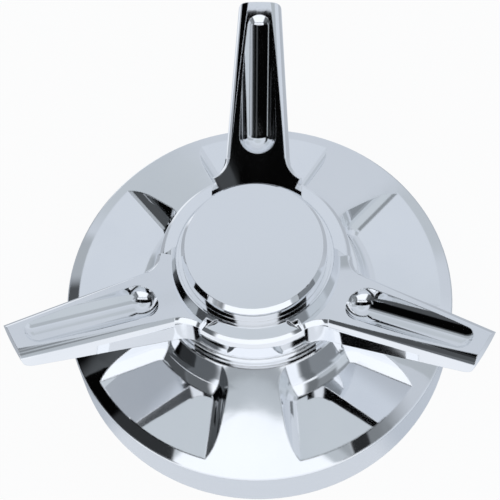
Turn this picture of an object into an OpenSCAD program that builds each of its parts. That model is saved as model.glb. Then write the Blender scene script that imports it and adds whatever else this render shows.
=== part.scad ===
// Knock-off spinner: a turned aluminium wheel cap with a three-bar spinner bolted to it.
// Units are mm. The axis of the wheel is Z, and the cap's back rim lies in the plane z = 0.

/* [Base cap] */
// Diameter of the cap's rim
base_d = 165; // [150:1:180]
// Height of the straight rim wall
rim_h = 25.4; // [18:0.2:30]
// Diameter of the boss that the spinner seats on
boss_d = 80.8; // [78:0.4:84]
// Height of the boss's seating face above the back
boss_h = 50; // [46:0.5:56]
// How far the boss stands above the foot of the cone
boss_step = 5; // [3:0.5:7]
// Width of the flat ledge between the cone and the boss
ledge_w = 1.4; // [0.6:0.2:2.4]
// Bevel on the rim's two edges
rim_bevel = 0.6; // [0.2:0.1:1.5]

/* [Pockets] */
// Number of pockets round the cap
pocket_count = 5; // [3:1:6]
// Height of the flat pocket floors above the edge of the rim
pocket_rise = 2.6; // [1.6:0.2:5]
// Gap between the ledge and the upper edge of a pocket
pocket_gap = 0.6; // [0.4:0.1:2]
// Half width of a pocket floor at its inner edge
pocket_half_w = 14; // [12:0.2:15]
// Angle of a pocket floor's sides to its centre line
pocket_side_angle = 31; // [28:1:33]
// Radius of the hollow foot of a pocket's walls
pocket_foot_r = 11; // [9:0.5:12]
// Angle at which that foot meets the floor
pocket_foot_angle = 30; // [24:1:36]
// Draft angle of the walls above the foot
pocket_draft = 15; // [8:1:20]

/* [Back of the cap] */
// Thickness of the rim's wall
rim_wall = 11; // [9:0.5:16]
// Thickness of the metal under the pocket floors
roof_t = 6; // [4:0.5:10]
// Diameter of the deeper recess at the middle
well_d = 76; // [72:1:80]
// Thickness of the hub plate that the screws clamp
plate_t = 14; // [12:0.5:16]
// Diameter of the hole at the middle of the hub plate
plate_hole_d = 22; // [18:0.5:24]
// Number of tapped holes in the back rim
rim_hole_count = 5; // [3:1:8]
// Thread diameter of the rim holes
rim_hole_d = 6; // [4:1:6]
// Depth of the rim holes
rim_hole_depth = 14; // [8:1:18]

/* [Spinner] */
// Distance of an arm's top edge from the axis at the tip
tip_r = 102.5; // [95:0.5:112]
// Height of an arm's top edge above the seat, at the tip
tip_rise = 46; // [42:0.5:50]
// Slope of the arms' top face, rise over run
arm_slope = 0.42; // [0.38:0.01:0.46]
// Half width of an arm's body where it leaves the hub
arm_root_half_w = 13.4; // [12:0.2:15]
// Half width of an arm's body at the tip
arm_tip_half_w = 9; // [7.5:0.25:10.5]
// Height of the underside of an arm above the seat, at the hub
arm_lift = 1.4; // [0.6:0.2:6]
// Radius of the turned round at the tips
tip_round_r = 8; // [7:0.25:9]
// How far a tip bulges past its top edge
tip_bulge = 1.1; // [0.5:0.1:1.8]
// How far the hub's side stands in from the boss's
hub_inset = 0.9; // [0.5:0.1:1.5]
// Radius of the fillets between the arms and the hub
root_fillet_r = 9.8; // [7:0.2:12]
// Diameter of the register under the hub
register_d = 34; // [30:0.5:38]
// Height of the register
register_h = 3; // [2:0.5:4]

/* [Shoulders] */
// Radius of the rounded shoulders along the arms and round the hub
shoulder_r = 7; // [6:0.25:8]
// Width of a shoulder at an arm's tip, seen from above
shoulder_tip_w = 4; // [3:0.2:5]
// Width of a shoulder at an arm's root
shoulder_root_w = 2; // [1.6:0.1:3]
// Width of the shoulder round the hub
shoulder_hub_w = 2.3; // [1.6:0.1:3]

/* [Flutes] */
// Radius of the ball-nosed cutter
flute_r = 7.7; // [6:0.1:8.5]
// Outer end of a flute, from the axis
flute_outer_end = 97.5; // [92:0.5:99]
// Inner end of a flute, from the axis
flute_inner_end = 44; // [42:0.5:50]
// Depth of a flute at its outer end
flute_outer_depth = 1.7; // [1:0.1:2.5]
// Depth of a flute at its inner end
flute_inner_depth = 5.8; // [3:0.1:6.5]

/* [Centre cap] */
// Height of the cap's seat above the spinner's seat
cap_seat_rise = 14.4; // [13.5:0.1:15.5]
// Diameter of the cap's face
cap_face_d = 56; // [50:0.5:58]
// Height of the cap above its seat
cap_h = 9.9; // [7:0.1:12]
// Width of the bevel round the cap's face
cap_bevel = 1.5; // [0.6:0.1:2.5]
// Height of that bevel
cap_bevel_h = 2.4; // [1:0.1:3]
// Diameter of the thin lip at the cap's foot
cap_lip_d = 62.4; // [60.5:0.2:63.5]
// Thickness of the lip
cap_lip_t = 0.8; // [0.5:0.1:1.5]
// Gap round the lip in the recess that it lies in
lip_gap = 1.1; // [0.6:0.1:2]
// Depth of that recess in the flats between the arms
lip_recess_depth = 0.6; // [0.3:0.1:1]
// Diameter of the cap's spigot
spigot_d = 25.6; // [22:0.2:28]
// Length of the cap's spigot
spigot_h = 6; // [5:0.25:6.5]
// Thickness of the O-ring on the spigot
ring_t = 2.4; // [1.8:0.1:2.8]

/* [Screws] */
// Thread diameter of the spinner screws
screw_d = 8; // [6:1:8]
// Length of the spinner screws under the head
screw_l = 25; // [22:1:26]
// Diameter of the circle that the spinner screws sit on
screw_circle_d = 56; // [54:0.5:58]
// Thickness of the split washers under their heads
split_washer_t = 2; // [1.4:0.1:2.6]
// Thread diameter of the centre screw
centre_screw_d = 6; // [5:1:6]
// Length of the centre screw under the head
centre_screw_l = 20; // [19:1:22]
// Thickness of the washer under its head
centre_washer_t = 1.6; // [1:0.1:2]

/* [Fits] */
// Radial clearance of screws in their drilled holes
hole_clearance = 0.25; // [0.15:0.05:0.4]
// Radial clearance of threads
thread_clearance = 0.1; // [0.05:0.05:0.2]
// Radial clearance of registers and spigots
spigot_clearance = 0.2; // [0.1:0.05:0.3]
// Clearance under the blind ends of registers and spigots
end_clearance = 0.6; // [0.4:0.1:1]
// Depth of a tapped hole past the end of its screw
tap_run = 2; // [1:0.5:2.5]

/* [Quality] */
// Facets of round surfaces in the preview
$fn = 96; // [48:16:192]

/* [Hidden] */
arm_count = 3;
// How far a cutter reaches past the face that it opens
over = 1;
// A small overlap where two faces would otherwise only touch
eps = 0.02;

base_r = base_d / 2;
boss_r = boss_d / 2;
ledge_r = boss_r + ledge_w;
ledge_h = boss_h - boss_step;
cone_slope = (ledge_h - rim_h) / (base_r - ledge_r);
pocket_floor_h = rim_h + pocket_rise;

// The foot of a pocket's walls is a tube round this path, and the floor cuts it off below.
path_inset = pocket_foot_r * sin(pocket_foot_angle);
path_h = pocket_floor_h + pocket_foot_r * cos(pocket_foot_angle);
function wall_reach_at(h) = pocket_foot_r / cos(pocket_draft) + (h - path_h) * tan(pocket_draft);
path_r = ledge_r + pocket_gap + wall_reach_at(ledge_h);
floor_inner_r = path_r - path_inset;
floor_side_offset = sqrt(pow(floor_inner_r, 2) - pow(pocket_half_w, 2)) * sin(pocket_side_angle)
    - pocket_half_w * cos(pocket_side_angle);
path_corner_angle = pocket_side_angle - asin((floor_side_offset + path_inset) / path_r);
// A pocket is cut a little past its corners, and its curved foot is cut in levels.
pocket_overrun = 1.5;
pocket_level_step = (90 - pocket_draft - pocket_foot_angle) / 5;

recess_r = base_r - rim_wall;
recess_h = pocket_floor_h - roof_t;
well_h = boss_h - plate_t;
rim_hole_circle_r = base_r - rim_wall / 2;

register_r = register_d / 2;
register_foot_h = boss_h - register_h;
hub_r = boss_r - hub_inset;
tip_h = boss_h + tip_rise;
top_slope_angle = atan(arm_slope);
cap_seat_h = boss_h + cap_seat_rise;
cap_lip_r = cap_lip_d / 2;
lip_recess_r = cap_lip_r + lip_gap;
hub_flat_h = cap_seat_h + lip_recess_depth;
spigot_foot_h = cap_seat_h - spigot_h;
cap_side_r = cap_face_d / 2 + cap_bevel;

// Heads and sockets of the screws, as shares of the thread
head_share = 1.6;
socket_share = 0.8;
split_gap = 1.2;
screw_seat_h = well_h - split_washer_t;
centre_screw_seat_h = register_foot_h - centre_washer_t;

// Height of the arms' turned top face at a distance from the axis.
function top_h(r) = tip_h + arm_slope * (r - tip_r);

// Half the width that a ball-nosed cutter of radius r opens at a depth.
function cut_half_w(r, depth) = sqrt(2 * r * depth - pow(depth, 2));

// Angle of an arm, and of the spinner screw under it.
function arm_angle(i) = 90 + i * 360 / arm_count;

// Draws its children once for each arm, the first along +Y.
module at_arms() {
    for (i = [0 : arm_count - 1]) rotate(arm_angle(i)) children();
}

// A round rod between two points.
module rod(from, to, r) {
    d = to - from;
    translate(from)
        rotate([0, acos(d[2] / norm(d)), atan2(d[1], d[0])])
            cylinder(h = norm(d), r = r);
}

// A vertical bore or a disc between two heights.
module bore(r, from_h, to_h) {
    translate([0, 0, from_h]) cylinder(h = to_h - from_h, r = r);
}

// Base cap

module base_profile() {
    polygon([
        [0, well_h],
        [well_d / 2, well_h],
        [well_d / 2, recess_h],
        [recess_r, recess_h],
        [recess_r, 0],
        [base_r - rim_bevel, 0],
        [base_r, rim_bevel],
        [base_r, rim_h - rim_bevel],
        [base_r - rim_bevel, rim_h + rim_bevel * cone_slope],
        [ledge_r, ledge_h],
        [boss_r, ledge_h],
        [boss_r, boss_h - rim_bevel],
        [boss_r - rim_bevel, boss_h],
        [0, boss_h],
    ]);
}

// One level of a pocket that spreads reach past its path: discs at the corners of a wedge.
module pocket_level(level_h, reach) {
    corner = path_r * [cos(path_corner_angle), sin(path_corner_angle)];
    along = [cos(pocket_side_angle), sin(pocket_side_angle)];
    for (end = [corner - pocket_overrun * along, corner + base_r * along], side = [-1, 1])
        translate([end[0], side * end[1], level_h])
            cylinder(h = eps, r = reach, $fn = 60);
}

// The inner wall is turned round the cap's axis, and this is the metal inside it.
module pocket_inner_wall() {
    foot = pocket_foot_r * [cos(pocket_draft), sin(pocket_draft)];
    top_h = boss_h + over;
    rotate_extrude() difference() {
        polygon([
            [0, pocket_floor_h - over],
            [path_r, pocket_floor_h - over],
            [path_r - foot[0], path_h - foot[1]],
            [path_r - wall_reach_at(top_h), top_h],
            [0, top_h],
        ]);
        translate([path_r, path_h]) circle(r = pocket_foot_r);
    }
}

// The floor is flat, so it runs out of the cone on a circle near the rim.
module pocket_cutter() {
    difference() {
        hull() {
            for (angle = [pocket_foot_angle : pocket_level_step : 90 - pocket_draft])
                pocket_level(path_h - pocket_foot_r * cos(angle), pocket_foot_r * sin(angle));
            pocket_level(boss_h, wall_reach_at(boss_h));
        }
        pocket_inner_wall();
    }
}

module base() {
    color("silver") difference() {
        rotate_extrude() base_profile();
        for (i = [0 : pocket_count - 1])
            rotate(90 + i * 360 / pocket_count) pocket_cutter();
        bore(plate_hole_d / 2, well_h - over, boss_h);
        bore(register_r + spigot_clearance, register_foot_h - end_clearance, boss_h + over);
        at_arms() translate([screw_circle_d / 2, 0])
            bore(screw_d / 2 + hole_clearance, well_h - over, boss_h + over);
        for (i = [0 : rim_hole_count - 1])
            rotate(90 + (i + 0.5) * 360 / rim_hole_count) translate([rim_hole_circle_r, 0])
                bore(rim_hole_d / 2, -over, rim_hole_depth);
    }
}

// Spinner

// The tips are turned to this round, and the underside is a cone that touches it.
tip_round_u = tip_r + tip_bulge - tip_round_r;
tip_round_h = tip_h - sqrt(pow(tip_round_r, 2) - pow(tip_round_r - tip_bulge, 2));
root_to_round = [tip_round_u - hub_r, tip_round_h - boss_h - arm_lift];
underside_angle = atan2(root_to_round[1], root_to_round[0]) - asin(tip_round_r / norm(root_to_round));

// Section of the turned blank, from the register under the hub to the tips.
module blank_profile() {
    far = tip_r + tip_round_r;
    touch_u = tip_round_u + tip_round_r * sin(underside_angle);
    intersection() {
        polygon([
            [0, register_foot_h],
            [register_r, register_foot_h],
            [register_r, boss_h],
            [hub_r, boss_h],
            [hub_r, boss_h + arm_lift + eps],
            [far, boss_h + arm_lift + eps + (far - hub_r) * tan(underside_angle)],
            [far, top_h(far)],
            [lip_recess_r, top_h(lip_recess_r)],
            [lip_recess_r, cap_seat_h],
            [0, cap_seat_h],
        ]);
        union() {
            square([touch_u, tip_h + tip_round_r]);
            translate([tip_round_u, tip_round_h]) circle(r = tip_round_r);
        }
    }
}

// The arms taper, and a root fillet touches the hub's circle and the side of an arm.
root_u = hub_r + 3.5;
arm_taper = (arm_root_half_w - arm_tip_half_w) / (tip_r - root_u);
function arm_half_w(u) = arm_tip_half_w + arm_taper * (tip_r - u);
taper_angle = atan(arm_taper);
side_offset = arm_half_w(0) * cos(taper_angle) + root_fillet_r;
fillet_angle = asin(side_offset / (hub_r + root_fillet_r)) - taper_angle;
fillet_u = (hub_r + root_fillet_r) * cos(fillet_angle);
fillet_v = (hub_r + root_fillet_r) * sin(fillet_angle);

// Plan outline of one arm along +X, flared by a fillet on each side. It runs on to the hub's
// middle at the width it has where it meets the hub.
module arm_outline() {
    far = tip_r + tip_round_r;
    hub_touch = hub_r * [cos(fillet_angle), sin(fillet_angle)];
    arm_touch = [fillet_u, fillet_v] - root_fillet_r * [sin(taper_angle), cos(taper_angle)];
    upper = [hub_touch, [fillet_u, fillet_v], arm_touch, [far, arm_half_w(far)]];
    lower = [for (i = [len(upper) - 1 : -1 : 0]) [upper[i][0], -upper[i][1]]];
    difference() {
        polygon(concat([[0, -hub_touch[1]], [0, hub_touch[1]]], upper, lower));
        for (side = [-1, 1]) translate([fillet_u, side * fillet_v])
            circle(r = root_fillet_r + eps);
    }
}

module spinner_body() {
    intersection() {
        rotate_extrude() blank_profile();
        union() {
            cylinder(h = hub_flat_h, r = hub_r);
            at_arms() linear_extrude(tip_h + tip_round_r) arm_outline();
        }
    }
}

// The shoulders are round in section, and what lies outside the arc is cut away. The arc stops
// just short of touching the wall, at this share of its radius.
wall_reach = 0.99;
shoulder_reach = wall_reach * shoulder_r;
shoulder_cut = 2 * shoulder_r;

// Height of an arc's centre below an arm's top face that it leaves at edge_v.
function shoulder_drop(edge_v, centre_v) =
    sqrt(pow(shoulder_r, 2) - pow(edge_v - centre_v, 2)) / cos(top_slope_angle);

tip_centre_v = arm_tip_half_w - shoulder_reach;
tip_edge_v = arm_tip_half_w - shoulder_tip_w;
tip_centre_h = tip_h - shoulder_drop(tip_edge_v, tip_centre_v);
root_centre_v = arm_half_w(fillet_u) - shoulder_reach;
root_edge_v = arm_half_w(fillet_u) - shoulder_root_w;
root_centre_h = top_h(norm([fillet_u, root_edge_v])) - shoulder_drop(root_edge_v, root_centre_v);

// What is cut away beside an arc that has its centre at centre_x.
module shoulder_profile(centre_x, cut_w) {
    inner = 1.5;
    difference() {
        translate([centre_x + inner, shoulder_r * sqrt(1 - pow(wall_reach, 2))])
            square([cut_w, shoulder_cut]);
        translate([centre_x, 0]) circle(r = shoulder_r);
    }
}

// Cuts one side of an arm, from the fillet to past the tip.
module arm_shoulder_cutter() {
    from = [fillet_u, root_centre_v, root_centre_h];
    d = [tip_r, tip_centre_v, tip_centre_h] - from;
    overlap = 0.3;
    translate(from)
        rotate([0, -atan2(d[2], norm([d[0], d[1]])), atan2(d[1], d[0])])
            translate([-overlap, 0, 0]) rotate([90, 0, 90])
                linear_extrude(norm(d) + 2 * tip_round_r) shoulder_profile(0, shoulder_cut);
}

// Carries the shoulder round a root fillet. It leans with the turned top, so its width stays even.
module fillet_shoulder_cutter() {
    side_angle = 270 - taper_angle - fillet_angle;
    plan_r = root_fillet_r + shoulder_reach;
    ring_r = plan_r / norm([cos(side_angle) * cos(top_slope_angle), sin(side_angle)]);
    ring_h = root_centre_h - ring_r * cos(side_angle) * sin(top_slope_angle);
    spread = 6;
    translate([fillet_u, fillet_v, ring_h])
        rotate([0, -top_slope_angle, fillet_angle])
            rotate(180 - spread)
                rotate_extrude(angle = side_angle - 180 + 2 * spread)
                    mirror([1, 0]) translate([-ring_r, 0])
                        shoulder_profile(0, plan_r - shoulder_reach / 2);
}

// The hub's edge between two arms, round the flat that lies lower than the arms.
module hub_shoulder_cutter() {
    half = 180 / arm_count - fillet_angle;
    centre_h = hub_flat_h - sqrt(pow(shoulder_r, 2) - pow(shoulder_reach - shoulder_hub_w, 2));
    rotate(180 / arm_count - half)
        rotate_extrude(angle = 2 * half)
            translate([0, centre_h]) shoulder_profile(hub_r - shoulder_reach, shoulder_cut);
}

// A capsule whose axis rises more steeply than the arm's top, so that the flute runs out shallow.
module flute() {
    along = [cos(top_slope_angle), 0, sin(top_slope_angle)];
    up = [-sin(top_slope_angle), 0, cos(top_slope_angle)];
    outer_u = flute_outer_end - cut_half_w(flute_r, flute_outer_depth) * along[0];
    inner_u = flute_inner_end + cut_half_w(flute_r, flute_inner_depth) * along[0];
    outer = [outer_u, 0, top_h(outer_u)] + (flute_r - flute_outer_depth) * up;
    inner = [inner_u, 0, top_h(inner_u)] + (flute_r - flute_inner_depth) * up;
    rod(inner, outer, flute_r);
    translate(outer) sphere(r = flute_r);
    translate(inner) sphere(r = flute_r);
}

module spinner() {
    screw_end_h = screw_seat_h + screw_l;
    color("gainsboro") difference() {
        spinner_body();
        at_arms() {
            for (side = [0, 1]) mirror([0, side, 0]) {
                arm_shoulder_cutter();
                fillet_shoulder_cutter();
            }
            hub_shoulder_cutter();
            flute();
            translate([screw_circle_d / 2, 0])
                bore(screw_d / 2 + thread_clearance, boss_h - over, screw_end_h + tap_run);
        }
        bore(spigot_d / 2 + spigot_clearance, spigot_foot_h - end_clearance, cap_seat_h + over);
        bore(centre_screw_d / 2 + hole_clearance, register_foot_h - over, cap_seat_h);
    }
}

// Centre cap

// The O-ring lies in a groove of the spigot and all but touches the bore round it.
ring_slack = 0.1;
ring_mid_r = spigot_d / 2 + spigot_clearance - ring_slack - ring_t / 2;
ring_h = cap_seat_h - spigot_h / 2;
groove_r = ring_mid_r - ring_t / 2 - ring_slack;
groove_half_w = ring_t / 2 + 2 * ring_slack;
spigot_bevel = 0.5;

module centre_cap() {
    screw_end_h = centre_screw_seat_h + centre_screw_l;
    color("whitesmoke") difference() {
        rotate_extrude() polygon([
            [0, spigot_foot_h],
            [spigot_d / 2 - spigot_bevel, spigot_foot_h],
            [spigot_d / 2, spigot_foot_h + spigot_bevel],
            [spigot_d / 2, ring_h - groove_half_w],
            [groove_r, ring_h - groove_half_w],
            [groove_r, ring_h + groove_half_w],
            [spigot_d / 2, ring_h + groove_half_w],
            [spigot_d / 2, cap_seat_h],
            [cap_lip_r, cap_seat_h],
            [cap_lip_r, cap_seat_h + cap_lip_t],
            [cap_side_r, cap_seat_h + cap_lip_t],
            [cap_side_r, cap_seat_h + cap_h - cap_bevel_h],
            [cap_face_d / 2, cap_seat_h + cap_h],
            [0, cap_seat_h + cap_h],
        ]);
        bore(centre_screw_d / 2 + thread_clearance, spigot_foot_h - over, screw_end_h + tap_run);
    }
}

module cap_o_ring() {
    color("dimgray") translate([0, 0, ring_h])
        rotate_extrude() translate([ring_mid_r, 0]) circle(d = ring_t);
}

// Fasteners

// Socket-head screw that points up, with its head's bearing face at z = 0.
module socket_screw(d, l) {
    socket_r = socket_share * d / 2 / cos(30);
    difference() {
        union() {
            bore(head_share * d / 2, -d, 0);
            bore(d / 2, 0, l);
        }
        translate([0, 0, -d - over]) cylinder(h = over + d / 2, r = socket_r, $fn = 6);
    }
}

// Split ring under the head of a spinner screw.
module split_washer() {
    outer_r = head_share * screw_d / 2;
    difference() {
        bore(outer_r, 0, split_washer_t);
        bore(screw_d / 2 + hole_clearance, -over, split_washer_t + over);
        translate([0, -split_gap / 2, -over])
            cube([outer_r + over, split_gap, split_washer_t + 2 * over]);
    }
}

// Draws its children on the axis of a spinner screw, with z = 0 on the bearing face of its head.
module at_screw(i) {
    rotate(arm_angle(i)) translate([screw_circle_d / 2, 0, screw_seat_h]) children();
}

module spinner_screw(i) {
    color("darkgray") at_screw(i) socket_screw(screw_d, screw_l);
}

module spinner_washer(i) {
    color("gray") at_screw(i) split_washer();
}

module centre_screw() {
    color("darkgray") translate([0, 0, centre_screw_seat_h])
        socket_screw(centre_screw_d, centre_screw_l);
}

module centre_washer() {
    color("gray") translate([0, 0, centre_screw_seat_h]) difference() {
        bore(centre_screw_d, 0, centre_washer_t);
        bore(centre_screw_d / 2 + hole_clearance, -over, centre_washer_t + over);
    }
}

base();
spinner();
centre_cap();
cap_o_ring();
centre_screw();
centre_washer();
spinner_screw(0);  // spinner_screw_1
spinner_screw(1);  // spinner_screw_2
spinner_screw(2);  // spinner_screw_3
spinner_washer(0);  // spinner_washer_1
spinner_washer(1);  // spinner_washer_2
spinner_washer(2);  // spinner_washer_3
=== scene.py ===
"""Finishes, studio and camera for a bolt-on wheel cap with a three-armed spinner."""

import logging
import math
from dataclasses import dataclass
from enum import Enum
from typing import Any, Sequence

import bmesh
import bpy
from mathutils import Matrix, Vector


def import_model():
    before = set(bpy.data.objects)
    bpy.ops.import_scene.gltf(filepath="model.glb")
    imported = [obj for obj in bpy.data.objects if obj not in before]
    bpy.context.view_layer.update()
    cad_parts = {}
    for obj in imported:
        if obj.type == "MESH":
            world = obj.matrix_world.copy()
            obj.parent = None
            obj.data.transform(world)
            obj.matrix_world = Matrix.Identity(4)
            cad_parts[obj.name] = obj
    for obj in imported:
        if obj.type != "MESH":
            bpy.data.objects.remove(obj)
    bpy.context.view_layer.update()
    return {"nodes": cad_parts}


LOG = logging.getLogger("wheel_cap")
MM = 0.001

Colour = tuple[float, float, float]
Rgba = tuple[float, float, float, float]
Band = tuple[float, float]


class Tint(Enum):
    """The cast of a light or a card, as a share of red, green and blue."""

    NEUTRAL = (1.0, 1.0, 1.0)
    DAYLIGHT = (0.93, 1.0, 1.10)
    SHADE = (0.92, 1.0, 1.08)
    BRIGHT = (0.96, 1.0, 1.06)


class Lay(Enum):
    """How the fine marks of a machined surface run."""

    TURNED = "rings round the wheel's axis"
    BUFFED = "short strokes that cross each other"


class Value:
    """A shader socket that takes part in arithmetic, one Math node for each operation."""

    def __init__(self, shader: "Shader", socket: bpy.types.NodeSocket) -> None:
        """Wraps a socket of a shader's node tree.

        Args:
            shader: The builder that owns the tree.
            socket: An output socket that carries a number.
        """
        self.shader = shader
        self.socket = socket

    def _math(self, operation: str, *inputs: Any) -> "Value":
        """Adds one Math node.

        Args:
            operation: The node's operation.
            inputs: Numbers or Values, in the order of the node's sockets.

        Returns:
            The node's result.
        """
        return self.shader.add("ShaderNodeMath", {"operation": operation}, dict(enumerate(inputs)))

    def __add__(self, other: Any) -> "Value":
        """Returns self + other."""
        return self._math("ADD", self, other)

    __radd__ = __add__

    def __sub__(self, other: Any) -> "Value":
        """Returns self - other."""
        return self._math("SUBTRACT", self, other)

    def __rsub__(self, other: Any) -> "Value":
        """Returns other - self."""
        return self._math("SUBTRACT", other, self)

    def __mul__(self, other: Any) -> "Value":
        """Returns self * other."""
        return self._math("MULTIPLY", self, other)

    __rmul__ = __mul__

    def __truediv__(self, other: Any) -> "Value":
        """Returns self / other."""
        return self._math("DIVIDE", self, other)

    def power(self, exponent: float) -> "Value":
        """Returns self raised to a power."""
        return self._math("POWER", self, exponent)

    def inside(self, low: float, high: float, edge: float) -> "Value":
        """Makes a soft-edged band.

        Args:
            low: The value at which the band starts.
            high: The value at which it ends.
            edge: Half the width of its soft edges.

        Returns:
            1 within the band and 0 outside it.
        """
        rise = self.smooth(low - edge, low + edge)
        return rise * (1.0 - self.smooth(high - edge, high + edge))

    def smooth(self, low: float, high: float) -> "Value":
        """Eases from 0 below low to 1 above high.

        Args:
            low: The value at which the step starts.
            high: The value at which it ends.

        Returns:
            The eased step.
        """
        settings = {"interpolation_type": "SMOOTHSTEP"}
        return self.shader.add("ShaderNodeMapRange", settings, {0: self, 1: low, 2: high})


class Shader:
    """Builds the node tree of one material or world."""

    def __init__(self, owner: bpy.types.ID) -> None:
        """Empties the owner's node tree.

        Args:
            owner: The material or world.
        """
        owner.use_nodes = True
        self.tree = owner.node_tree
        self.tree.nodes.clear()

    def add(self, kind: str, settings: dict[str, Any], inputs: dict[Any, Any], output: Any = 0) -> Value:
        """Adds a node: its settings first, then its sockets.

        Args:
            kind: The node's type.
            settings: Attributes of the node.
            inputs: Numbers, colours or Values by socket name or index.
            output: The output to return, by name or index.

        Returns:
            The chosen output.
        """
        node = self.tree.nodes.new(kind)
        for name, setting in settings.items():
            setattr(node, name, setting)
        for name, given in inputs.items():
            if isinstance(given, Value):
                self.tree.links.new(given.socket, node.inputs[name])
            else:
                node.inputs[name].default_value = given
        return Value(self, node.outputs[output])

    def position(self) -> Value:
        """Returns the point on the piece in the row frame, in metres."""
        return self.add("ShaderNodeTexCoord", {}, {}, "Object")

    def split(self, vector: Value) -> tuple[Value, Value, Value]:
        """Splits a vector.

        Args:
            vector: The vector to split.

        Returns:
            Its three components.
        """
        first = self.add("ShaderNodeSeparateXYZ", {}, {0: vector})
        node = first.socket.node
        return tuple(Value(self, node.outputs[i]) for i in range(3))

    def noise(self, scale: float, detail: float, stretch: Sequence[float] = (1.0, 1.0, 1.0)) -> Value:
        """Adds a noise pattern on the piece's own coordinates.

        Args:
            scale: Features in a metre.
            detail: Octaves.
            stretch: Scale along each axis.

        Returns:
            The noise, about 0.5.
        """
        point = self.add("ShaderNodeMapping", {}, {"Vector": self.position(), "Scale": tuple(stretch)})
        pattern = {"Vector": point, "Scale": scale, "Detail": detail}
        return self.add("ShaderNodeTexNoise", {}, pattern, "Fac")

    def mix(self, factor: Any, first: Any, second: Any) -> Value:
        """Mixes two colours.

        Args:
            factor: The share of the second one.
            first: A colour or a Value.
            second: A colour or a Value.

        Returns:
            The mixed colour.
        """
        return self.add("ShaderNodeMix", {"data_type": "RGBA"}, {0: factor, 6: first, 7: second}, 2)

    def finish(self, surface: Value, kind: str = "ShaderNodeOutputMaterial") -> None:
        """Connects the output node.

        Args:
            surface: The shader that the surface shows.
            kind: The type of the output node.
        """
        node = self.tree.nodes.new(kind)
        self.tree.links.new(surface.socket, node.inputs["Surface"])


def opaque(colour: Colour) -> Rgba:
    """Returns a colour with full alpha, as colour sockets take it."""
    return (*colour, 1.0)


def grey(level: float, tint: Tint = Tint.NEUTRAL) -> Rgba:
    """Turns a level, as a screen shows it, into a light's colour.

    Args:
        level: The level, where 255 is white.
        tint: Its cast.

    Returns:
        The linear colour with full alpha.
    """
    share = level / 255.0
    linear = ((share + 0.055) / 1.055) ** 2.4 if share > 0.04045 else share / 12.92
    return opaque(tuple(linear * part for part in tint.value))


@dataclass(frozen=True)
class Coarse:
    """The finish of a place that isn't polished to a mirror."""

    roughness: float
    mark_depth: float
    colour: Colour


@dataclass(frozen=True)
class PolishedAlloy:
    """Aluminium that was turned or milled and then polished to a mirror.

    A scale counts a pattern's features in a metre, a pitch is the size of one, and a band is the
    part of a pattern's range over which its effect sets in.
    """

    name: str
    lay: Lay
    colour: Colour = (0.915, 0.925, 0.94)
    haze_colour: Colour = (0.875, 0.89, 0.915)
    roughness: float = 0.03
    haze: float = 0.035
    haze_share: float = 0.6
    speck_roughness: float = 0.02
    cloud_scale: float = 38.0
    cloud_band: Band = (0.35, 0.75)
    speck_scale: float = 900.0
    speck_band: Band = (0.60, 0.78)
    mark_strength: float = 0.35
    mark_depth: float = 0.001 * MM
    mark_pitch: float = 0.35 * MM
    stroke_scale: float = 1400.0
    edge_round: float = 0.25 * MM
    ripple_depth: float = 0.012 * MM
    ripple_pitch: float = 9.0 * MM

    def radius(self, shader: Shader) -> tuple[Value, Value]:
        """Returns the distance from the wheel's axis and the height, in metres."""
        x, y, z = shader.split(shader.position())
        return (x * x + y * y).power(0.5), z

    def rings(self, shader: Shader, pitch: float) -> Value:
        """Adds the rings that a lathe leaves.

        Args:
            shader: The builder of this finish's material.
            pitch: The spacing of the rings.

        Returns:
            Their height, from 0 to 1.
        """
        radius, height = self.radius(shader)
        ring = shader.add("ShaderNodeCombineXYZ", {}, {0: radius, 1: height})
        return shader.add("ShaderNodeTexNoise", {}, {"Vector": ring, "Scale": 1.0 / pitch}, "Fac")

    def marks(self, shader: Shader) -> Value:
        """Returns the height of the fine marks that polishing leaves, from 0 to 1."""
        if self.lay is Lay.BUFFED:
            return shader.noise(self.stroke_scale, 3.0, (1.0, 0.25, 1.0))
        return self.rings(shader, self.mark_pitch)

    def places(self, shader: Shader) -> list[tuple[Value, Coarse]]:
        """Names the places that have a coarser finish than the rest.

        Args:
            shader: The builder of this finish's material.

        Returns:
            For each place its mask and its finish.
        """
        return []

    def material(self) -> bpy.types.Material:
        """Returns the finish as a material."""
        material = bpy.data.materials.new(self.name)
        shader = Shader(material)
        cloud = shader.noise(self.cloud_scale, 4.0).smooth(*self.cloud_band)
        specks = shader.noise(self.speck_scale, 2.0).smooth(*self.speck_band)
        roughness = self.roughness + self.haze * cloud + self.speck_roughness * specks
        colour = shader.mix(cloud * self.haze_share, opaque(self.colour), opaque(self.haze_colour))
        depth = self.mark_depth
        for mask, coarse in self.places(shader):
            roughness = roughness + mask * (coarse.roughness - roughness)
            depth = depth + mask * (coarse.mark_depth - self.mark_depth)
            colour = shader.mix(mask, colour, opaque(coarse.colour))
        edges = shader.add("ShaderNodeBevel", {"samples": 4}, {"Radius": self.edge_round})
        ripple = {"Distance": self.ripple_depth, "Height": shader.noise(1.0 / self.ripple_pitch, 1.0)}
        waved = shader.add("ShaderNodeBump", {}, {"Strength": 1.0, **ripple, "Normal": edges})
        bump = {
            "Strength": self.mark_strength,
            "Distance": depth,
            "Height": self.marks(shader),
            "Normal": waved,
        }
        sockets = {
            "Base Color": colour,
            "Metallic": 1.0,
            "Roughness": roughness,
            "Normal": shader.add("ShaderNodeBump", {}, bump),
        }
        shader.finish(shader.add("ShaderNodeBsdfPrincipled", {}, sockets))
        return material


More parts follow.
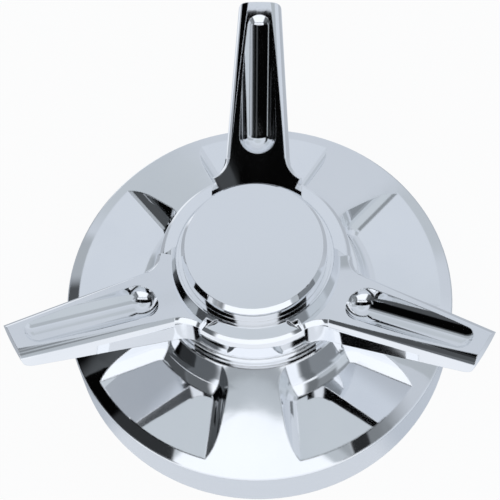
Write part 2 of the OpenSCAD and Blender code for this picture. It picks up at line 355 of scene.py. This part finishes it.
@dataclass(frozen=True, kw_only=True)
class BaseAlloy(PolishedAlloy):
    """The base's polish, with a satin rim wall and an as-turned back."""

    rim_radius: float
    rim_wall: float
    back_radius: float
    back_depth: float
    well_radius: float
    well_depth: float
    fade: float = 0.08 * MM
    satin: Coarse = Coarse(0.32, 0.006 * MM, (0.67, 0.695, 0.73))
    turned: Coarse = Coarse(0.24, 0.009 * MM, (0.80, 0.81, 0.83))

    def places(self, shader: Shader) -> list[tuple[Value, Coarse]]:
        """Names the rim's straight wall, the two steps of the hollow back and the back edge.

        Args:
            shader: The builder of this finish's material.

        Returns:
            For each place its mask and its finish.
        """
        fade = self.fade
        radius, height = self.radius(shader)
        outside = radius.smooth(self.rim_radius - 2.0 * fade, self.rim_radius - fade)
        wall = outside * (1.0 - height.smooth(self.rim_wall - fade, self.rim_wall))
        hollow = []
        for reach, depth in ((self.back_radius, self.back_depth), (self.well_radius, self.well_depth)):
            within = 1.0 - radius.smooth(reach + fade, reach + 2.0 * fade)
            hollow.append((within * (1.0 - height.smooth(depth, depth + fade)), self.turned))
        edge = 1.0 - height.smooth(fade, 2.0 * fade)
        return [(wall, self.satin), *hollow, (edge, self.turned)]


@dataclass(frozen=True, kw_only=True)
class CapAlloy(PolishedAlloy):
    """The centre cap's polish, with a fine-turned face."""

    face_height: float
    fade: float = 0.08 * MM
    face: Coarse = Coarse(0.10, 0.0025 * MM, (0.89, 0.90, 0.915))

    def places(self, shader: Shader) -> list[tuple[Value, Coarse]]:
        """Names the flat face.

        Args:
            shader: The builder of this finish's material.

        Returns:
            Its mask and its finish.
        """
        _, height = self.radius(shader)
        face = height.smooth(self.face_height - 1.5 * self.fade, self.face_height - 0.5 * self.fade)
        return [(face, self.face)]


@dataclass(frozen=True)
class PlainSteel:
    """Stainless fasteners as they come, with a grey satin skin."""

    name: str
    colour: Colour = (0.50, 0.50, 0.51)
    roughness: float = 0.28
    grain_scale: float = 2600.0
    grain_depth: float = 0.004 * MM
    grain_strength: float = 0.4
    cloud_scale: float = 260.0
    cloud_band: Band = (0.3, 0.8)
    cloud_roughness: float = 0.12
    cloud_shade: float = 0.82

    def material(self) -> bpy.types.Material:
        """Returns the finish as a material."""
        material = bpy.data.materials.new(self.name)
        shader = Shader(material)
        grain = shader.noise(self.grain_scale, 3.0)
        cloud = shader.noise(self.cloud_scale, 3.0).smooth(*self.cloud_band)
        darker = tuple(self.cloud_shade * part for part in self.colour)
        bump = {"Strength": self.grain_strength, "Distance": self.grain_depth, "Height": grain}
        sockets = {
            "Base Color": shader.mix(cloud, opaque(self.colour), opaque(darker)),
            "Metallic": 1.0,
            "Roughness": self.roughness + self.cloud_roughness * cloud,
            "Normal": shader.add("ShaderNodeBump", {}, bump),
        }
        shader.finish(shader.add("ShaderNodeBsdfPrincipled", {}, sockets))
        return material


@dataclass(frozen=True)
class MouldedRubber:
    """Black rubber of a seal."""

    name: str
    colour: Colour = (0.022, 0.022, 0.023)
    roughness: float = 0.62
    grain_scale: float = 3200.0
    grain_depth: float = 0.008 * MM
    grain_strength: float = 0.5
    grain_roughness: float = 0.15
    grain_shade: float = 1.7

    def material(self) -> bpy.types.Material:
        """Returns the finish as a material."""
        material = bpy.data.materials.new(self.name)
        shader = Shader(material)
        grain = shader.noise(self.grain_scale, 3.0)
        lighter = tuple(self.grain_shade * part for part in self.colour)
        bump = {"Strength": self.grain_strength, "Distance": self.grain_depth, "Height": grain}
        sockets = {
            "Base Color": shader.mix(grain, opaque(self.colour), opaque(lighter)),
            "Roughness": self.roughness + self.grain_roughness * grain,
            "Normal": shader.add("ShaderNodeBump", {}, bump),
        }
        shader.finish(shader.add("ShaderNodeBsdfPrincipled", {}, sockets))
        return material


Finish = PolishedAlloy | PlainSteel | MouldedRubber


def dress(node: bpy.types.Object, finish: Finish) -> None:
    """Gives a carried-over solid its finish.

    Args:
        node: The solid.
        finish: The finish.
    """
    node.data.materials.clear()
    node.data.materials.append(finish.material())
    LOG.info("%s: %s", node.name, finish.name)


@dataclass
class BaseCap:
    """The pocketed cone that bolts to the wheel."""

    node: str = "base"
    rim_radius: float = 82.5 * MM
    rim_wall: float = 25.4 * MM
    back_radius: float = 71.5 * MM
    back_depth: float = 22.5 * MM
    well_radius: float = 38.0 * MM
    well_depth: float = 36.5 * MM
    edge_round: float = 0.9 * MM

    def dress(self, nodes: dict[str, bpy.types.Object]) -> None:
        """Gives the base its polish, satin on the rim's wall and as turned at the back.

        Args:
            nodes: The frame's solids by name.
        """
        finish = BaseAlloy(
            "base_alloy",
            Lay.TURNED,
            edge_round=self.edge_round,
            rim_radius=self.rim_radius,
            rim_wall=self.rim_wall,
            back_radius=self.back_radius,
            back_depth=self.back_depth,
            well_radius=self.well_radius,
            well_depth=self.well_depth,
        )
        dress(nodes[self.node], finish)


@dataclass
class Spinner:
    """The hub with its fluted arms."""

    node: str = "spinner"
    edge_round: float = 0.5 * MM

    def dress(self, nodes: dict[str, bpy.types.Object]) -> None:
        """Gives the spinner its hand-buffed polish.

        Args:
            nodes: The frame's solids by name.
        """
        dress(nodes[self.node], PolishedAlloy("spinner_alloy", Lay.BUFFED, edge_round=self.edge_round))


@dataclass
class CentreCap:
    """The round cap over the middle, and the ring that holds it."""

    node: str = "centre_cap"
    ring: str = "cap_o_ring"
    face_height: float = 74.3 * MM

    def dress(self, nodes: dict[str, bpy.types.Object]) -> None:
        """Gives the cap its fine-turned face and the ring its rubber.

        Args:
            nodes: The frame's solids by name.
        """
        dress(nodes[self.node], CapAlloy("cap_alloy", Lay.TURNED, face_height=self.face_height))
        dress(nodes[self.ring], MouldedRubber("seal_rubber"))


@dataclass
class Fasteners:
    """The screws and the washers under their heads."""

    centre: tuple[str, str] = ("centre_screw", "centre_washer")
    spinner: tuple[str, str] = ("spinner_screw", "spinner_washer")
    count: int = 3

    def dress(self, nodes: dict[str, bpy.types.Object]) -> None:
        """Gives screws and washers plain stainless steel, the washers a shade darker.

        Args:
            nodes: The frame's solids by name.
        """
        screws = PlainSteel("screw_steel")
        washers = PlainSteel("washer_steel", colour=(0.43, 0.43, 0.45), roughness=0.34)
        for number in range(self.count + 1):
            names = [f"{name}_{number}" for name in self.spinner] if number else self.centre
            for name, finish in zip(names, (screws, washers)):
                dress(nodes[name], finish)


@dataclass(frozen=True)
class Pane:
    """A part of the room, or a painted reflection on the table, that the polish shows, by its direction
    in degrees.

    The azimuth turns from +X towards +Y, low and high are elevations, and edge is half the width
    of the soft border. The level is the one that a screen shows, where 255 is white.
    """

    azimuth: float
    half_width: float
    low: float
    high: float
    level: float
    edge: float
    tint: Tint


@dataclass(frozen=True)
class Sheet:
    """A part of the overhead card's painted glow, by its place in metres, with a soft border of half
    width edge.
    """

    x: tuple[float, float]
    y: tuple[float, float]
    level: float
    edge: float
    tint: Tint


@dataclass
class Studio:
    """The white table with its painted reflection, the pale room round it and the glowing card of
    painted reflection above it.

    The places and levels of its panes and sheets were fitted, so that what the polish shows comes
    near the reflections in the photograph.
    """

    table_radius: float = 0.6
    table_gap: float = 0.2 * MM
    # The table's level in reflections is painted, under its painted panes
    table_level: float = 214.0
    table_glow: float = 0.94
    paper: Colour = (0.9, 0.9, 0.9)
    white: Colour = (1.0, 1.0, 1.0)
    room_level: float = 219.0
    # The overhead card glows with painted levels, a painted reflection that only glossy rays see
    card_level: float = 4.0
    card_height: float = 0.70
    card_x: tuple[float, float] = (-1.35, 0.80)
    card_y: tuple[float, float] = (-0.46, -0.02)
    # The far wall with the ceiling over it, then the white front with a grey on either side, then
    # the right-hand wall, and last the greys and the dark on the left
    room: tuple[Pane, ...] = (
        Pane(95, 70, -90, 50, 211, 6.0, Tint.DAYLIGHT),
        Pane(90, 70, 66, 90, 206, 2.5, Tint.SHADE),
        Pane(52, 10, 15, 32, 198, 4.0, Tint.SHADE),
        Pane(120, 12, 8, 24, 200, 5.0, Tint.SHADE),
        Pane(-90, 44, -90, 66, 262, 1.5, Tint.BRIGHT),
        Pane(-136, 10, -7, 47, 102, 3.0, Tint.SHADE),
        Pane(-49, 6, 3, 46, 116, 3.0, Tint.SHADE),
        Pane(-37, 8, -90, 14, 188, 2.0, Tint.SHADE),
        Pane(-37, 8, 14, 48, 140, 2.0, Tint.SHADE),
        Pane(-37, 8, 49, 60, 90, 2.0, Tint.SHADE),
        Pane(-14, 15, -12, 29, 208, 3.0, Tint.SHADE),
        Pane(-20, 9, 29, 62, 150, 3.0, Tint.SHADE),
        Pane(8, 9, 20, 62, 186, 3.0, Tint.SHADE),
        Pane(144, 6, -5, 45, 178, 2.0, Tint.SHADE),
        Pane(174, 24, -8, 43, 82, 2.0, Tint.SHADE),
        Pane(176, 19, -8, 36, 4, 1.5, Tint.SHADE),
        Pane(-157, 12, -8, 44, 80, 2.0, Tint.SHADE),
    )
    # A painted reflection: a dark glowing card with painted light at its ends, a grey strip across it
    # and a white near edge
    card_painted_reflection: tuple[Sheet, ...] = (
        Sheet((-1.40, -1.10), (-0.60, 0.10), 180, 0.04, Tint.SHADE),
        Sheet((-1.00, -0.41), (-0.60, -0.25), 50, 0.01, Tint.SHADE),
        Sheet((0.07, 0.17), (-0.26, 0.10), 70, 0.02, Tint.SHADE),
        Sheet((0.30, 0.48), (-0.60, 0.10), 45, 0.006, Tint.SHADE),
        Sheet((0.48, 0.90), (-0.60, 0.10), 130, 0.006, Tint.SHADE),
        Sheet((0.62, 0.90), (-0.60, 0.10), 205, 0.10, Tint.DAYLIGHT),
        Sheet((0.56, 0.90), (-0.60, -0.28), 140, 0.012, Tint.SHADE),
        Sheet((-0.41, 0.40), (-0.60, -0.265), 262, 0.01, Tint.BRIGHT),
        Sheet((-0.26, 0.23), (-0.34, -0.258), 236, 0.010, Tint.BRIGHT),
        Sheet((-0.41, 0.40), (-0.452, -0.39), 195, 0.006, Tint.SHADE),
        Sheet((-0.41, 0.40), (-0.42, -0.385), 165, 0.008, Tint.SHADE),
    )
    # The table's painted reflection is pale all round, with painted light brightest on its near side and
    # in a strip on its far left
    table: tuple[Pane, ...] = (
        Pane(-90, 50, -90, 90, 248, 6.0, Tint.BRIGHT),
        Pane(-30, 15, -90, 90, 222, 6.0, Tint.DAYLIGHT),
        Pane(8, 20, -90, 90, 195, 8.0, Tint.DAYLIGHT),
        Pane(40, 22, -90, 90, 188, 6.0, Tint.DAYLIGHT),
        Pane(150, 12, -90, 90, 178, 5.0, Tint.DAYLIGHT),
        Pane(-177, 22, -90, 90, 180, 5.0, Tint.DAYLIGHT),
        Pane(128, 8, -90, 90, 250, 5.0, Tint.BRIGHT),
    )

    def _place(self, name: str, bm: bmesh.types.BMesh, material: bpy.types.Material, seen: bool) -> None:
        """Turns a bmesh into an object of the stage.

        Args:
            name: The object's name.
            bm: The mesh, which is freed.
            material: Its material.
            seen: Whether the camera sees it.
        """
        mesh = bpy.data.meshes.new(name)
        bm.to_mesh(mesh)
        bm.free()
        mesh.materials.append(material)
        piece = bpy.data.objects.new(name, mesh)
        bpy.context.scene.collection.objects.link(piece)
        piece.visible_camera = seen
        piece.visible_shadow = seen
        piece.visible_diffuse = seen

    def _panes(self, shader: Shader, direction: Value, first: Any, panes: Sequence[Pane]) -> Value:
        """Paints panes over a colour, each over the ones before it.

        Args:
            shader: The builder of the material or world.
            direction: The direction from the object, of any length.
            first: The colour under the panes.
            panes: The panes.

        Returns:
            The painted colour.
        """
        x, y, z = shader.split(direction)
        flat = (x * x + y * y).power(0.5) + 1e-6
        length = (x * x + y * y + z * z).power(0.5) + 1e-6
        rise = z / length
        colour = first
        for pane in panes:
            turn = math.radians(pane.azimuth)
            facing = (x * math.cos(turn) + y * math.sin(turn)) / flat
            wide = math.cos(math.radians(pane.half_width + pane.edge))
            narrow = math.cos(math.radians(max(pane.half_width - pane.edge, 0.0)))
            mask = facing.smooth(wide, narrow)
            if pane.low > -90:
                low, high = (math.sin(math.radians(pane.low + side * pane.edge)) for side in (-1, 1))
                mask = mask * rise.smooth(low, high)
            if pane.high < 90:
                low, high = (math.sin(math.radians(pane.high + side * pane.edge)) for side in (-1, 1))
                mask = mask * (1.0 - rise.smooth(low, high))
            colour = shader.mix(mask, colour, grey(pane.level, pane.tint))
        return colour

    def _sheets(self, shader: Shader, position: Value, first: Any, sheets: Sequence[Sheet]) -> Value:
        """Paints rectangles over a colour, each over the ones before it.

        Args:
            shader: The builder of the material.
            position: The place on the surface.
            first: The colour under the rectangles.
            sheets: The rectangles.

        Returns:
            The painted colour.
        """
        x, y, _ = shader.split(position)
        colour = first
        for sheet in sheets:
            mask = x.inside(*sheet.x, sheet.edge) * y.inside(*sheet.y, sheet.edge)
            colour = shader.mix(mask, colour, grey(sheet.level, sheet.tint))
        return colour

    def white_table_painted_reflection(self) -> None:
        """Lays the round table, white to the camera and a painted reflection to glossy rays, and keeps
        the soft shadow on it.
        """
        material = bpy.data.materials.new("white_table_painted_reflection")
        shader = Shader(material)
        camera = shader.add("ShaderNodeLightPath", {}, {}, "Is Camera Ray")
        glossy = Value(shader, camera.socket.node.outputs["Is Glossy Ray"])
        paper = shader.add("ShaderNodeBsdfDiffuse", {}, {"Color": opaque(self.paper)})
        # Painted reflection: glossy rays see the table's painted panes of light and shade, the camera
        # sees white
        seen = self._panes(shader, shader.position(), grey(self.table_level, Tint.DAYLIGHT), self.table)
        colour = shader.mix(camera, seen, opaque(self.white))
        glow = shader.add("ShaderNodeEmission", {}, {"Color": colour})
        shown = (camera + glossy) * self.table_glow
        shader.finish(shader.add("ShaderNodeMixShader", {}, {0: shown, 1: paper, 2: glow}))
        bm = bmesh.new()
        bmesh.ops.create_circle(bm, cap_ends=True, segments=96, radius=self.table_radius)
        bmesh.ops.translate(bm, verts=bm.verts, vec=(0.0, 0.0, -self.table_gap))
        self._place("table", bm, material, seen=True)

    def overhead_card_painted_reflection(self) -> None:
        """Hangs the glowing card of painted reflection over the table, which only reflections see."""
        material = bpy.data.materials.new("overhead_card_painted_reflection")
        shader = Shader(material)
        # Painted reflection: the card's glow is painted from its sheets' levels
        colour = self._sheets(shader, shader.position(), grey(self.card_level), self.card_painted_reflection)
        shader.finish(shader.add("ShaderNodeEmission", {}, {"Color": colour}))
        bm = bmesh.new()
        bmesh.ops.create_grid(bm, x_segments=1, y_segments=1, size=0.5)
        (x0, x1), (y0, y1) = self.card_x, self.card_y
        bmesh.ops.scale(bm, verts=bm.verts, vec=(x1 - x0, y1 - y0, 1.0))
        middle = ((x0 + x1) / 2, (y0 + y1) / 2, self.card_height)
        bmesh.ops.translate(bm, verts=bm.verts, vec=middle)
        self._place("overhead_card_painted_reflection", bm, material, seen=False)

    def daylight_room(self) -> None:
        """Sets the world: white to the camera, and the pale room to everything else."""
        world = bpy.data.worlds.new("room")
        bpy.context.scene.world = world
        shader = Shader(world)
        direction = shader.add("ShaderNodeTexCoord", {}, {}, "Generated")
        room = self._panes(shader, direction, grey(self.room_level, Tint.DAYLIGHT), self.room)
        camera = shader.add("ShaderNodeLightPath", {}, {}, "Is Camera Ray")
        colour = shader.mix(camera, room, opaque(self.white))
        shader.finish(shader.add("ShaderNodeBackground", {}, {"Color": colour}), "ShaderNodeOutputWorld")

    def build(self) -> None:
        """Builds the whole studio."""
        self.white_table_painted_reflection()
        self.overhead_card_painted_reflection()
        self.daylight_room()


@dataclass
class Camera:
    """The camera of the photograph, fitted to the rim, the boss and the cap's face."""

    lens: float = 117.24
    place: tuple[float, float, float] = (0.0369, -0.2893, 0.6596)
    tilt: float = 63.67
    turn: float = 7.59
    lean: float = 6.23
    clip_start: float = 10.0 * MM

    def build(self) -> None:
        """Adds the camera and makes it the scene's."""
        tilt, turn, lean = (math.radians(angle) for angle in (self.tilt, self.turn, self.lean))
        right = Vector((math.cos(turn), math.sin(turn), 0.0))
        up = Vector((-math.sin(turn) * math.sin(tilt), math.cos(turn) * math.sin(tilt), math.cos(tilt)))
        across = right * math.cos(lean) - up * math.sin(lean)
        along = right * math.sin(lean) + up * math.cos(lean)
        axes = Matrix((across, along, across.cross(along))).transposed()
        camera = bpy.data.objects.new("camera", bpy.data.cameras.new("camera"))
        camera.data.lens = self.lens
        camera.data.clip_start = self.clip_start
        camera.matrix_world = Matrix.Translation(self.place) @ axes.to_4x4()
        bpy.context.scene.collection.objects.link(camera)
        bpy.context.scene.camera = camera


def main() -> None:
    """Dresses the frame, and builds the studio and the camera."""
    logging.basicConfig(level=logging.INFO, format="%(message)s")
    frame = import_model()
    for part in (BaseCap(), Spinner(), CentreCap(), Fasteners()):
        part.dress(frame["nodes"])
    Studio().build()
    Camera().build()
    bpy.context.scene.view_settings.view_transform = "Standard"


if __name__ == "__main__":
    main()
